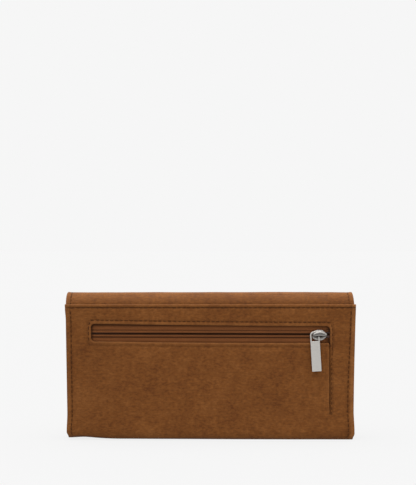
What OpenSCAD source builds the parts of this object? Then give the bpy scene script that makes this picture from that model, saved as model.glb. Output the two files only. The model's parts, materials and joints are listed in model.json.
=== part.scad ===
// Long flap wallet with a zip pocket in its back wall.
// The zip side faces -Y and the flap closes over the +Y side. The wallet stands on its base fold, on Z = 0.

/* [Body] */
// Width of the back wall at mid height
body_w = 200; // [180:1:210]
// Height of the back wall's top edge
back_h = 94; // [90:0.5:98]
// Thickness of the outer leather
leather_t = 1.1; // [0.9:0.1:1.2]
// Outer radius of the base folds
base_r = 4; // [3:0.5:5]
// How far each top corner of the back wall flares out
corner_flare = 1; // [0:0.1:2]

/* [Zip window] */
// Width of the window
window_w = 166.5; // [150:0.5:168]
// Height of the window
window_h = 12; // [11:0.5:12.5]
// Height of the window's centre above the base
zip_z = 73.5; // [72:0.5:75]
// Length of the slit that runs down from the window's lower right corner
slit_l = 49.5; // [40:0.5:54]

/* [Zip hardware] */
// Length of the slider's top plate
slider_l = 10.6; // [10:0.2:11]
// Height of the slider's top plate
slider_h = 7.6; // [7:0.2:8]
// Width of the pull
pull_w = 6.3; // [6:0.1:6.6]
// Length of the pull's flat tab, below its eye
pull_tab_l = 21.2; // [16:0.2:24]
// Lean of the pull's lower end towards +X
pull_lean = 3.2; // [0:0.2:4]

/* [Flap] */
// Outer radius of the rolled top
roll_r = 11.3; // [11:0.1:11.5]
// Height of the flap's lower edge above the base
flap_low = 3; // [2:0.5:12]

/* [Hidden] */
$fn = 64;

leather = [0.44, 0.27, 0.15];
lining = [0.36, 0.25, 0.17];
tape = [0.36, 0.20, 0.12];
metal = [0.74, 0.73, 0.70];
board = [0.60, 0.55, 0.47];

half_w = body_w / 2;
layer_t = 0.5;      // card pockets
cloth_t = 0.4;      // linings and pocket cloth

// The wall stack, from the zip side to the flap side.
back_y = -10.6;                     // outer face of the back wall
back_in_y = back_y + leather_t;
hem_y = -8.8;                       // inner face of the back wall's turned top edge
tape_y = back_in_y;                 // outer face of the zip tapes
tape_t = 0.6;
coil_t = 1.2;
pocket_outer_y = tape_y + tape_t;
pocket_inner_y = -6.2;
back_lining_y = pocket_inner_y + cloth_t;
cards_y = back_lining_y + cloth_t;
cards_n = 3;
cards_front_y = cards_y + cards_n * layer_t;
divider_y = 0.7;
divider_t = 0.7;
divider_front_y = divider_y + divider_t + 2 * layer_t;
front_y = 9.4;                      // outer face of the front wall
front_in_y = front_y - leather_t;
washer_t = 0.4;
front_lining_y = front_in_y - washer_t - cloth_t;
slip_y = front_lining_y - cloth_t;

// Heights.
hem_z = back_h - 6;
front_h = 88;
divider_h = 86;
inner_low = 5.5;                    // lowest edge of the loose inner layers
card_tops = [82, 69, 56];
card_gap = 1.5;                     // half the gap between the two card columns
card_edge = 96;

// The window and its zip.
window_x = 0.25;
window_r = 2.5;
window_left = window_x - window_w / 2;
window_right = window_x + window_w / 2;
window_low = zip_z - window_h / 2;
window_top = zip_z + window_h / 2;
slit_w = 0.8;
tape_reach = 10.8;
slot_half = 0.8;                    // half the gap between the two tapes
coil_h = 1.5;
zip_end = 88;

// The slider.
slider_x = 76.5;
plate_y = -11.1;                    // outer face of the slider's top plate
plate_t = 1.1;
lower_plate_y = -7.1;
lower_plate_t = 0.7;
neck_w = 1.1;
crown_out_y = -13.8;
crown_t = 0.9;
crown_foot_l = 1.0;
crown_half_l = 5.0;
crown_foot_w = 1.8;
crown_w = 3.4;

// The pull hangs by its eye from the crown's left foot.
pull_t = 1.1;
pull_y = plate_y - 0.15;            // inner face of the pull
pull_pivot_x = slider_x - crown_half_l + crown_foot_l / 2;
eye_left = -1.5;                    // the eye's sides, measured from the pivot
eye_right = 2.9;
eye_top = 1.6;
eye_bottom = -4.6;
pull_rim = (pull_w - (eye_right - eye_left)) / 2;
pull_corner_r = 0.9;

// The rolled top, its three creases and the flap.
roll_y = 2.5;
roll_z = 90.7;
roll_lining_t = 0.7;
roll_in_r = roll_r - leather_t - roll_lining_t;
crease_a = [143, 95, 41];           // the three creases, from +Y towards +Z
crease_gap_a = 0.6;                 // the cut between two stiff parts of the roll
flap_half_w = body_w / 2 + 0.2;
flap_corner_r = 4;
lining_inset = 0.6;
flap_y = roll_y + roll_r;           // outer face of the flap
flap_in_y = flap_y - leather_t - roll_lining_t;
flap_board_t = 0.4;

// The snap.
snap_z = 24;
snap_r = 7;
snap_socket_t = 1.5;
snap_disc_t = 1.0;
stud_r = 1.95;
socket_r = 2.8;
stud_l = 1.1;
washer_r = 5;

// The ring for a wrist strap, in its leather tab.
ring_x = -76;
ring_y = -3.4;
ring_z = 84.6;
wire_r = 0.8;
ring_half_w = 5;
ring_leg = 3;
tab_w = 8;
tab_t = 0.5;
tab_fit = 0.1;
tab_top = 91;

// Side gussets.
gusset_in = 13.5;                   // depth of the inward fold
gusset_run = 2.4;                   // the fold's sheet, measured along X
gusset_edge_t = 0.5;                // its sewn edge beside the layers
gusset_x = half_w - 0.2;
gusset_low = inner_low + 1;
gusset_h = 84;

// 2D (Y, Z) shapes drawn along X.
module along_x(length) {
    rotate([90, 0, 90]) linear_extrude(height = length, center = true) children();
}

// 2D (X, Z) shapes drawn from y over a thickness t towards +Y.
module wall(y, t) {
    translate([0, y + t, 0]) rotate([90, 0, 0]) linear_extrude(height = t) children();
}

// 2D (X, Y) shapes drawn from z0 to z1.
module upright(z0, z1) {
    translate([0, 0, z0]) linear_extrude(height = z1 - z0) children();
}

// A flat sheet from x0 to x1 and from z0 to z1.
module sheet(x0, x1, z0, z1, y, t) {
    translate([x0, y, z0]) cube([x1 - x0, t, z1 - z0]);
}

module rounded_rect(x0, x1, z0, z1, r) {
    translate([x0 + r, z0]) square([x1 - x0 - 2 * r, z1 - z0]);
    translate([x0, z0 + r]) square([x1 - x0, z1 - z0 - 2 * r]);
    for (x = [x0 + r, x1 - r], z = [z0 + r, z1 - r]) translate([x, z]) circle(r = r);
}

// The part of a ring around the origin between two angles less than 180 degrees apart.
module ring_sector(r_out, r_in, a0, a1) {
    reach = 2 * r_out;
    middle = (a0 + a1) / 2;
    intersection() {
        difference() {
            circle(r = r_out);
            circle(r = r_in);
        }
        polygon([
            [0, 0],
            reach * [cos(a0), sin(a0)],
            reach * [cos(middle), sin(middle)],
            reach * [cos(a1), sin(a1)]
        ]);
    }
}

// ---- The back wall, its base fold and its lining ----

module wall_outline() {
    flare_z = back_h - 15;
    polygon([
        [-half_w, base_r], [-half_w + base_r / 2, 0], [half_w - base_r / 2, 0], [half_w, base_r],
        [half_w, flare_z], [half_w + corner_flare, back_h - 2], [half_w + corner_flare, back_h],
        [-half_w - corner_flare, back_h], [-half_w - corner_flare, back_h - 2], [-half_w, flare_z]
    ]);
}

// A cross-section drawn out along the body and trimmed to the wall's outline.
module in_wall_outline() {
    intersection() {
        along_x(body_w + 2 * corner_flare) children();
        wall(back_y - 1, front_y - back_y + 2) wall_outline();
    }
}

module window_outline() {
    rounded_rect(window_left, window_right, window_low, window_top, window_r);
    translate([window_right - slit_w, window_low - slit_l]) square([slit_w, slit_l + window_h / 2]);
}

module back_panel() {
    color(leather) difference() {
        in_wall_outline() {
            translate([back_y, base_r]) square([leather_t, back_h - base_r]);
            translate([hem_y - 0.7, hem_z]) square([0.7, back_h - hem_z]);
        }
        wall(back_y - 1, leather_t + 1.5) window_outline();
    }
}

// The base fold is the wall's own leather, in three lengths so that each stays close to convex.
module base_fold_back() {
    color(leather) in_wall_outline()
        translate([back_y + base_r, base_r]) ring_sector(base_r, base_r - leather_t, 180, 270);
}

module base_fold_bottom() {
    color(leather) in_wall_outline()
        translate([back_y + base_r, 0]) square([front_y - back_y - 2 * base_r, leather_t]);
}

module base_fold_front() {
    color(leather) in_wall_outline() {
        translate([front_y - base_r, base_r]) ring_sector(base_r, base_r - leather_t, 270, 360);
        translate([front_in_y, base_r]) square([leather_t, 0.5]);
    }
}

module back_lining() {
    color(lining) sheet(-half_w + 2, half_w - 2, inner_low, back_h - 3, back_lining_y, cloth_t);
}

// The strip that closes the top of the back wall, between the flap's sewn end and the lining.
module back_top_facing() {
    y = hem_y + leather_t + roll_lining_t;
    color(leather) sheet(-half_w + 2, half_w - 2, hem_z, roll_z, y, back_lining_y - y);
}

// The sewn end of the flap, as far as its first crease.
module flap_seam_stub() {
    stub_t = leather_t + roll_lining_t;
    color(leather) {
        along_x(2 * flap_half_w) translate([roll_y, roll_z])
            ring_sector(roll_r, roll_in_r, crease_a[0] + crease_gap_a, 180);
        sheet(-flap_half_w, flap_half_w, hem_z, roll_z, roll_y - roll_r, stub_t);
    }
}

// ---- The zip and its pocket ----

module zip_tape(side) {
    z = side > 0 ? zip_z + slot_half : zip_z - slot_half - tape_reach;
    color(tape) sheet(-zip_end, zip_end, z, z + tape_reach, tape_y, tape_t);
}

module zip_coil(side) {
    z = side > 0 ? zip_z + slot_half : zip_z - slot_half - coil_h;
    color(tape) sheet(-zip_end + 2, zip_end - 2, z, z + coil_h, tape_y + tape_t, coil_t);
}

// A stop is a small block across both coils, outside the slider's travel.
module zip_stop(x) {
    stop_l = 1.6;
    stop_y = tape_y + tape_t + coil_t;
    color(metal) sheet(x, x + stop_l, zip_z - slot_half - coil_h, zip_z + slot_half + coil_h, stop_y, 0.5);
}

module zip_pocket_outer_layer() {
    top = zip_z - slider_h / 2 - 1.2;
    color(lining) sheet(-zip_end - 2, zip_end + 2, inner_low, top, pocket_outer_y, 0.3);
}

module zip_pocket_inner_layer() {
    color(lining) sheet(-zip_end - 2, zip_end + 2, inner_low, hem_z - 1, pocket_inner_y, cloth_t);
}

module slider_plate() {
    rounded_rect(slider_x - slider_l / 2, slider_x + slider_l / 2, zip_z - slider_h / 2, zip_z + slider_h / 2, 2.6);
}

module zip_slider() {
    color(metal) {
        wall(plate_y, plate_t) slider_plate();
        wall(lower_plate_y, lower_plate_t) slider_plate();
        sheet(slider_x + 1.5, slider_x + slider_l / 2 - 1, zip_z - neck_w / 2, zip_z + neck_w / 2,
              plate_y + plate_t, lower_plate_y - plate_y - plate_t);
    }
}

// The crown is a bridge along the zip: two feet on the top plate and a broad leaf over them.
module zip_crown() {
    color(metal) {
        for (x = [slider_x - crown_half_l, slider_x + crown_half_l - crown_foot_l])
            sheet(x, x + crown_foot_l, zip_z - crown_foot_w / 2, zip_z + crown_foot_w / 2,
                  crown_out_y + crown_t, plate_y - crown_out_y - crown_t);
        wall(crown_out_y, crown_t)
            rounded_rect(slider_x - crown_half_l, slider_x + crown_half_l,
                         zip_z - crown_w / 2, zip_z + crown_w / 2, crown_w / 2 - 0.05);
    }
}

module zip_pull() {
    tab_low = eye_bottom - pull_tab_l;
    color(metal) translate([pull_pivot_x, 0, zip_z]) rotate([0, -pull_lean, 0])
        difference() {
            wall(pull_y - pull_t, pull_t)
                rounded_rect(eye_left - pull_rim, eye_right + pull_rim, tab_low, eye_top + pull_rim, pull_corner_r);
            wall(pull_y - pull_t - 1, pull_t + 2)
                rounded_rect(eye_left, eye_right, eye_bottom, eye_top, pull_corner_r);
        }
}

// ---- Card pockets, divider and front wall ----

// side is -1 for the left column and 1 for the right one; tier 0 is the rearmost and tallest.
module card_pocket(side, tier) {
    x0 = side < 0 ? -card_edge : card_gap;
    color(leather) sheet(x0, x0 + card_edge - card_gap, inner_low, card_tops[tier], cards_y + tier * layer_t, layer_t);
}

module divider_board() {
    color(lining) sheet(-half_w + 2, half_w - 2, inner_low, divider_h, divider_y, divider_t);
}

module divider_card_pocket(tier) {
    color(leather) sheet(card_gap, card_edge, inner_low, card_tops[tier + 1],
                         divider_y + divider_t + tier * layer_t, layer_t);
}

module id_window_film() {
    color([0.9, 0.92, 0.93]) sheet(-card_edge + 8, -card_gap - 8, inner_low + 8, 64, divider_y + divider_t, 0.2);
}

module id_window_frame() {
    frame_y = divider_y + divider_t + 0.2;
    color(leather) difference() {
        sheet(-card_edge, -card_gap, inner_low, 70, frame_y, 0.6);
        wall(frame_y - 1, 3) rounded_rect(-card_edge + 12, -card_gap - 12, inner_low + 12, 60, 3);
    }
}

module front_panel() {
    hinge_room = 0.25;
    color(leather) sheet(-half_w, half_w, base_r + 0.5 + hinge_room, front_h, front_in_y, leather_t);
}

module front_lining() {
    color(lining) sheet(-half_w + 2, half_w - 2, inner_low + 1, front_h - 1.5, front_lining_y, cloth_t);
}

module front_slip_pocket() {
    color(lining) sheet(-half_w + 4, half_w - 4, inner_low + 1, 62, slip_y, cloth_t);
}

// ---- Gussets ----

// One inward fold, drawn for +X between two walls at y0 and y1.
module gusset_fold(y0, y1) {
    fold_x = gusset_x - gusset_in;
    middle = (y0 + y1) / 2;
    polygon([
        [gusset_x, y0], [fold_x + gusset_run, middle], [gusset_x, y1],
        [gusset_x - gusset_run, y1], [fold_x, middle], [gusset_x - gusset_run, y0]
    ]);
}

// The fold between y0 and y1, and its sewn edges, which run out to the walls at wall_y0 and wall_y1.
// A fold that already ends at its wall has no edge there.
module gusset(side, y0, y1, wall_y0, wall_y1) {
    color(leather) mirror([side < 0 ? 1 : 0, 0, 0]) upright(gusset_low, gusset_h) {
        gusset_fold(y0, y1);
        translate([gusset_x - gusset_edge_t, wall_y0]) square([gusset_edge_t, y0 - wall_y0]);
        if (wall_y1 > y1)
            translate([gusset_x - gusset_edge_t, y1]) square([gusset_edge_t, wall_y1 - y1]);
    }
}

module gusset_back(side) {
    gusset(side, cards_front_y, divider_y, back_in_y, divider_y);
}

module gusset_front(side) {
    gusset(side, divider_front_y, slip_y, divider_y + divider_t, front_in_y);
}

// ---- The rolled top and the flap ----

module roll_part(r_out, r_in, a0, a1, half_width) {
    along_x(2 * half_width) translate([roll_y, roll_z]) ring_sector(r_out, r_in, a0, a1);
}

// part 0 is the back part of the roll and part 1 the front part.
module roll_leather(part) {
    color(leather) roll_part(roll_r, roll_r - leather_t, crease_a[part + 1] + crease_gap_a, crease_a[part], flap_half_w);
}

module roll_lining(part) {
    color(lining) roll_part(roll_r - leather_t, roll_in_r, crease_a[part + 1] + crease_gap_a, crease_a[part],
                            flap_half_w - lining_inset);
}

module flap_outline(inset) {
    r = flap_corner_r - inset;
    x = flap_half_w - inset;
    translate([-x, flap_low + inset + r]) square([2 * x, roll_z - flap_low - inset - r]);
    translate([-x + r, flap_low + inset]) square([2 * x - 2 * r, r]);
    for (side = [-1, 1]) translate([side * (x - r), flap_low + inset + r]) circle(r = r);
}

module flap_leather() {
    color(leather) {
        roll_part(roll_r, roll_r - leather_t, 0, crease_a[2], flap_half_w);
        wall(flap_y - leather_t, leather_t) flap_outline(0);
    }
}

module flap_board() {
    color(board) wall(flap_y - leather_t - flap_board_t, flap_board_t) intersection() {
        flap_outline(3);
        translate([-half_w, 0]) square([body_w, roll_z - 4]);
    }
}

module flap_lining() {
    color(lining) {
        roll_part(roll_r - leather_t, roll_in_r, 0, crease_a[2], flap_half_w - lining_inset);
        difference() {
            wall(flap_in_y, roll_lining_t) flap_outline(lining_inset);
            flap_board();
            wall(flap_in_y + roll_lining_t - flap_board_t - 0.2, 0.3) translate([0, snap_z]) circle(r = washer_r);
        }
    }
}

// ---- The magnetic snap ----

// A disc about Y, from y over a thickness t towards +Y.
module disc(r, y, t) {
    translate([0, y, snap_z]) rotate([-90, 0, 0]) cylinder(r = r, h = t);
}

module snap_socket() {
    color(metal) difference() {
        disc(snap_r, front_y, snap_socket_t);
        disc(socket_r, front_y - 1, snap_socket_t + 2);
    }
}

module snap_socket_washer() {
    color(metal) disc(washer_r, front_in_y - washer_t, washer_t);
}

module snap_stud() {
    color(metal) {
        disc(snap_r, flap_in_y - snap_disc_t, snap_disc_t);
        disc(stud_r, flap_in_y - snap_disc_t - stud_l, stud_l);
    }
}

module snap_stud_washer() {
    color(metal) disc(washer_r, flap_in_y + roll_lining_t - flap_board_t - 0.2, 0.2);
}

// ---- The wrist-strap ring ----

module strap_ring() {
    color(metal) translate([ring_x, ring_y, ring_z]) {
        rotate([0, 90, 0]) cylinder(r = wire_r, h = 2 * ring_half_w, center = true);
        for (side = [-1, 1]) {
            translate([side * ring_half_w, 0, 0]) sphere(r = wire_r);
            translate([side * ring_half_w, 0, -ring_leg]) cylinder(r = wire_r, h = ring_leg);
        }
        translate([0, 0, -ring_leg]) rotate([-90, 0, 0]) rotate_extrude(angle = 180)
            translate([ring_half_w, 0]) circle(r = wire_r);
    }
}

// The tab is a strip folded round the ring's bar and sewn to the back wall's facing.
module strap_tab() {
    hole_r = wire_r + tab_fit;
    color(leather) translate([ring_x, 0, 0]) difference() {
        union() {
            translate([0, ring_y, ring_z]) rotate([0, 90, 0]) cylinder(r = hole_r + tab_t, h = tab_w, center = true);
            translate([-tab_w / 2, cards_y, ring_z]) cube([tab_w, 2 * tab_t, tab_top - ring_z]);
        }
        translate([0, ring_y, ring_z]) rotate([0, 90, 0]) cylinder(r = hole_r, h = tab_w + 2, center = true);
    }
}

back_panel();
base_fold_back();
base_fold_bottom();
base_fold_front();
back_lining();
back_top_facing();
flap_seam_stub();
zip_tape(1);  // zip_tape_upper
zip_tape(-1);  // zip_tape_lower
zip_coil(1);  // zip_coil_upper
zip_coil(-1);  // zip_coil_lower
zip_stop(zip_end - 4);  // zip_top_stop
zip_stop(-zip_end + 2.4);  // zip_bottom_stop
zip_pocket_outer_layer();
zip_pocket_inner_layer();
card_pocket(-1, 0);  // card_pocket_left_1
card_pocket(-1, 1);  // card_pocket_left_2
card_pocket(-1, 2);  // card_pocket_left_3
card_pocket(1, 0);  // card_pocket_right_1
card_pocket(1, 1);  // card_pocket_right_2
card_pocket(1, 2);  // card_pocket_right_3
gusset_back(-1);  // gusset_back_left
gusset_back(1);  // gusset_back_right
strap_tab();
strap_ring();
zip_slider();
zip_crown();
zip_pull();
divider_board();
divider_card_pocket(0);  // divider_card_pocket_1
divider_card_pocket(1);  // divider_card_pocket_2
id_window_frame();
id_window_film();
gusset_front(-1);  // gusset_front_left
gusset_front(1);  // gusset_front_right
front_panel();
front_lining();
front_slip_pocket();
snap_socket();
snap_socket_washer();
roll_leather(0);  // roll_back_leather
roll_lining(0);  // roll_back_lining
roll_leather(1);  // roll_front_leather
roll_lining(1);  // roll_front_lining
flap_leather();
flap_board();
flap_lining();
snap_stud();
snap_stud_washer();
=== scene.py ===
import json
import math

import bmesh
import bpy
import numpy as np
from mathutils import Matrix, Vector


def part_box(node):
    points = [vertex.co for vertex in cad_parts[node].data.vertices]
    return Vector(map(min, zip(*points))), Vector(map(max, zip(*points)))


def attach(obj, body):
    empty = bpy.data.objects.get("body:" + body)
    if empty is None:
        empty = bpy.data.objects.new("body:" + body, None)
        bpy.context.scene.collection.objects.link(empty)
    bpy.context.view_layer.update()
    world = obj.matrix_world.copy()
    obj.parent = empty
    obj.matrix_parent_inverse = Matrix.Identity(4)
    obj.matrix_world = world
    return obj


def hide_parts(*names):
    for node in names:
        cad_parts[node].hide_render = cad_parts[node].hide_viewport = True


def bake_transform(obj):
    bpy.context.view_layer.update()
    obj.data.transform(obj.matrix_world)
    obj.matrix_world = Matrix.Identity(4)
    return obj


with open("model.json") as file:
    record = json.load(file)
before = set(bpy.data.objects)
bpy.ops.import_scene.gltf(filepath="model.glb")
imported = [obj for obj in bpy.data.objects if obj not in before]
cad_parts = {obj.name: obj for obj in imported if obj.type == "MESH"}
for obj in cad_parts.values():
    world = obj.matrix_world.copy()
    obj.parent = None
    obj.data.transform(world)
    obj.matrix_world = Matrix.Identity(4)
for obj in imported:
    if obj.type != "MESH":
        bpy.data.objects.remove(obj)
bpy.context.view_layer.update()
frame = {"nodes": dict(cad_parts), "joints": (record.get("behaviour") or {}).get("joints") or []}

# Lengths below are in millimetres, in the CAD frame, and become metres where a mesh is made.
MM = 0.001

# ---- What the frame says ----


def corners(node):
    """A CAD node's lowest and highest corners."""
    low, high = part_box(node)
    return np.array(low) / MM, np.array(high) / MM


def joint_place(name):
    """A hinge's (y, z)."""
    joint = next(j for j in frame["joints"] if j["name"] == name)
    return np.array(joint["pos_m"][1:]) / MM


def circle_through(a, b, c):
    centre = np.linalg.solve([2 * (b - a), 2 * (c - a)], [b @ b - a @ a, c @ c - a @ a])
    return centre, np.linalg.norm(a - centre)


WALL_LOW, WALL_HIGH = corners("back_panel")
WALL_NODES = ("back_panel", "base_fold_back", "base_fold_bottom", "base_fold_front", "front_panel")
WALL_TOP = WALL_HIGH[2]
WALL_HALF = 100.0
LEATHER = 1.1
LINING = 0.6
BASE_R = 2.8
FRONT_HIGH = corners("front_panel")[1]
FRONT_Y = FRONT_HIGH[1]
ROLL_CENTRE, ROLL_R = circle_through(*(joint_place(n) for n in ("flap_open", "flap_roll", "flap_fold")))
FLAP_LOW = corners("flap_leather")[0]
ZIP_Z = (corners("zip_tape_upper")[0][2] + corners("zip_tape_lower")[1][2]) / 2
TAPE_Y = corners("zip_tape_upper")[0][1]

# The window in the back wall, and the slit below its right end.
WINDOW_X, WINDOW_W, WINDOW_H, WINDOW_R = 0.25, 166.5, 12.0, 2.5
SLIT_X0, SLIT_X1, SLIT_L = 82.7, 83.5, 49.5
WINDOW_LOW = ZIP_Z - WINDOW_H / 2

# The slot between the tapes: its height above the zip's middle, half its width, and its fall per length.
SLOT_RISE, SLOT_HALF, SLOT_FALL = 0.35, 0.42, 0.0031
# The neck between the slider's plates is a thin blade, because the tapes lie close together.
NECK_HALF = 0.14
# The pull's leaning away from the leather, per length below its pivot.
PULL_LEAN_OUT = 0.04

# The stitches' pitch, and how far in from the edge the side and flap seams lie.
PITCH = 3.35
SEAM_IN = 3.45
# How far the turned edge of an inner pocket reaches, up to its stitching.
POCKET_SEAM_IN = 1.8

# ---- Small maths ----


def smooth(t):
    t = np.clip(t, 0, 1)
    return t * t * (3 - 2 * t)


def ridge(distance, width):
    return np.exp(-((distance / width) ** 2))


def waves(x, z, seed, size):
    """Soft unevenness about size across, between about -1 and 1."""
    rng = np.random.default_rng(seed)
    total = 0
    for _ in range(8):
        turn, length, phase = rng.uniform(0, math.tau), size * rng.uniform(0.6, 1.9), rng.uniform(0, math.tau)
        total = total + np.sin((x * math.cos(turn) + z * math.sin(turn)) * math.tau / length + phase)
    return total / 4


def corner_moves(du, dv, radius=None):
    """How far to move grid points inward so that a square corner turns round. du and dv are the distances
    past the corner's centre, and with a radius the moves fade out beyond it."""
    square = np.maximum(du, dv)
    pull = square / np.maximum(np.hypot(du, dv), 1e-6)
    if radius:
        pull = pull + (1 - pull) * smooth((square - radius) / 5)
    moved = np.where((du > 0) & (dv > 0), 1 - pull, 0)
    return du * moved, dv * moved


def grid_lines(low, high, edges=(), step=2.2):
    """Grid lines from low to high, closer together beside both ends and beside each inner edge."""
    near = (0, 0.08, 0.2, 0.38, 0.65, 1.0, 1.35, 1.7, 2.05, 2.4, 2.75, 3.1, 3.45, 3.8, 4.2)
    stops = {round(float(e + side * d), 3) for e in (low, high, *edges) for d in near for side in (-1, 1)}
    stops = sorted(s for s in stops if low <= s <= high)
    lines = [stops[0]]
    for stop in stops[1:]:
        start, count = lines[-1], math.ceil((stop - lines[-1]) / step)
        lines += [start + (stop - start) * k / count for k in range(1, count + 1)]
    return np.array(lines)


def even_lines(low, high, step):
    return np.linspace(low, high, max(2, math.ceil((high - low) / step) + 1))


class Route:
    """A line in the YZ plane of straight runs and arcs, each (length, turn in degrees), from one end."""

    def __init__(self, start, heading, runs, side):
        self.side = side
        self.parts = []
        place, angle, gone = np.array(start, float), math.radians(heading), 0.0
        for length, turn in runs:
            self.parts.append((gone, length, place, angle, math.radians(turn)))
            gone += length
            place, angle = self._walk(self.parts[-1], np.array(length))
        self.length = gone

    @staticmethod
    def _walk(part, t):
        _, length, place, angle, turn = part
        t = t[..., None]
        if turn == 0:
            return place + t * np.array([math.cos(angle), math.sin(angle)]), angle + 0 * t[..., 0]
        radius = length / turn
        now = angle + t[..., 0] / radius
        centre = place + radius * np.array([-math.sin(angle), math.cos(angle)])
        return centre + radius * np.stack([np.sin(now), -np.cos(now)], -1), now

    def at(self, s):
        """The points at each distance s, and the directions that face outward there."""
        points, normals = np.zeros(s.shape + (2,)), np.zeros(s.shape + (2,))
        last = len(self.parts) - 1
        for k, part in enumerate(self.parts):
            inside = ((s >= part[0]) | (k == 0)) & ((s <= part[0] + part[1]) | (k == last))
            place, angle = self._walk(part, s[inside] - part[0])
            points[inside] = place
            normals[inside] = self.side * np.stack([-np.sin(angle), np.cos(angle)], -1)
        return points, normals


# ---- Materials ----


class Look:
    """A material's node tree, with its Principled shader."""

    def __init__(self, name):
        self.material = bpy.data.materials.new(name)
        self.material.use_nodes = True
        self.tree = self.material.node_tree
        self.shader = next(n for n in self.tree.nodes if n.type == "BSDF_PRINCIPLED")

    def set(self, node, inputs):
        for key, value in inputs.items():
            if isinstance(value, bpy.types.NodeSocket):
                self.tree.links.new(value, node.inputs[key])
            else:
                node.inputs[key].default_value = value

    def add(self, kind, inputs=None, **settings):
        node = self.tree.nodes.new("ShaderNode" + kind)
        for key, value in settings.items():
            setattr(node, key, value)
        self.set(node, inputs or {})
        return node

    def attribute(self, name):
        return self.add("Attribute", attribute_name=name)

    def noise(self, vector, scale, detail=3, roughness=0.5, stretch=None):
        if stretch:
            vector = self.add("VectorMath", {0: vector, 1: stretch}, operation="MULTIPLY").outputs[0]
        values = {"Vector": vector, "Scale": scale, "Detail": detail, "Roughness": roughness}
        return self.add("TexNoise", values).outputs["Fac"]

    def ramp(self, value, *stops):
        node = self.add("ValToRGB", {"Fac": value})
        elements = node.color_ramp.elements
        while len(elements) < len(stops):
            elements.new(0.5)
        for element, (place, colour) in zip(elements, stops):
            element.position = place
            element.color = (*colour, 1)
        return node.outputs["Color"]

    def fit(self, value, low, high, to_low=0.0, to_high=1.0):
        inputs = {"Value": value, "From Min": low, "From Max": high, "To Min": to_low, "To Max": to_high}
        return self.add("MapRange", inputs).outputs["Result"]

    def math(self, operation, a, b):
        return self.add("Math", {0: a, 1: b}, operation=operation).outputs[0]

    def mix(self, factor, a, b, blend="MIX"):
        node = self.add("Mix", data_type="RGBA", blend_type=blend)
        self.set(node, {0: factor, 6: a, 7: b})
        return node.outputs[2]

    def bump(self, height, strength, distance, normal=None):
        inputs = {"Height": height, "Strength": strength, "Distance": distance}
        if normal:
            inputs["Normal"] = normal
        return self.add("Bump", inputs).outputs["Normal"]

    def finish(self, **inputs):
        self.set(self.shader, {key.replace("_", " "): value for key, value in inputs.items()})
        return self.material


def srgb(red, green, blue):
    """Linear colour from the usual 0 to 255 one."""
    values = (v / 255 for v in (red, green, blue))
    return tuple(v / 12.92 if v <= 0.04045 else ((v + 0.055) / 1.055) ** 2.4 for v in values)


def leather_look(name, dark, mid, light, worn_and_lit_colour, roughness=0.62, grain=1.0):
    """Oiled nubuck: cloudy colour with a fine nap, paler along edges from rubbing, with a painted highlight
    where it is bent and painted shade darkening the seams.
    """
    look = Look(name)
    flat = look.attribute("flat").outputs["Vector"]
    clouds = look.noise(flat, 26, 4, 0.62)
    patches = look.noise(flat, 95, 3, 0.55)
    mottle = look.noise(flat, 300, 5, 0.6, stretch=(0.6, 1, 1))
    nap = look.noise(flat, 800, 3, 0.6, stretch=(0.55, 1, 1))
    drag = look.noise(flat, 240, 3, 0.6, stretch=(1, 0.35, 1))
    cloudy = look.math("ADD", look.math("MULTIPLY", clouds, 0.36), look.math("MULTIPLY", patches, 0.26))
    cloudy = look.math("ADD", cloudy, look.math("MULTIPLY", mottle, 0.38))
    colour = look.ramp(look.fit(cloudy, 0.38, 0.62), (0, dark), (0.5, mid), (1, light))
    colour = look.mix(look.fit(drag, 0.45, 0.75, 0, 0.3), colour, (*light, 1))
    speckle = look.ramp(look.fit(nap, 0.32, 0.68), (0, (0.66, 0.66, 0.66)), (1, (1.34, 1.34, 1.34)))
    colour = look.mix(0.7, colour, speckle, "MULTIPLY")
    # Paler colour from the attribute read here: rubbing along edges, and painted highlights on bends and
    # ridges that face the light.
    wear_and_highlight_mix = look.math("MULTIPLY", look.attribute("wear_and_highlight").outputs["Fac"], look.fit(patches, 0.3, 0.6, 0.45, 1))
    colour = look.mix(wear_and_highlight_mix, colour, (*worn_and_lit_colour, 1))
    # Painted shade: the attribute read here darkens grooves, creases, hollows and places under edges towards a
    # deep brown.
    painted_shade = look.attribute("painted_shade").outputs["Fac"]
    colour = look.mix(look.math("MULTIPLY", painted_shade, 0.75), colour, tuple(c * 0.3 for c in dark) + (1,))
    pores = look.add("TexVoronoi", {"Vector": flat, "Scale": 1500.0, "Randomness": 1.0}).outputs["Distance"]
    normal = look.bump(look.math("MULTIPLY", pores, grain), 0.25, 0.00006)
    normal = look.bump(nap, 0.35, 0.00009, normal)
    normal = look.bump(patches, 0.25, 0.0005, normal)
    rough = look.fit(look.math("ADD", patches, nap), 0.7, 1.3, roughness - 0.07, roughness + 0.1)
    return look.finish(
        Base_Color=colour, Roughness=rough, Normal=normal, Specular_IOR_Level=0.1,
        Sheen_Weight=0.03, Sheen_Roughness=0.5, Sheen_Tint=(1.0, 0.6, 0.35, 1),
    )


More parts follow.
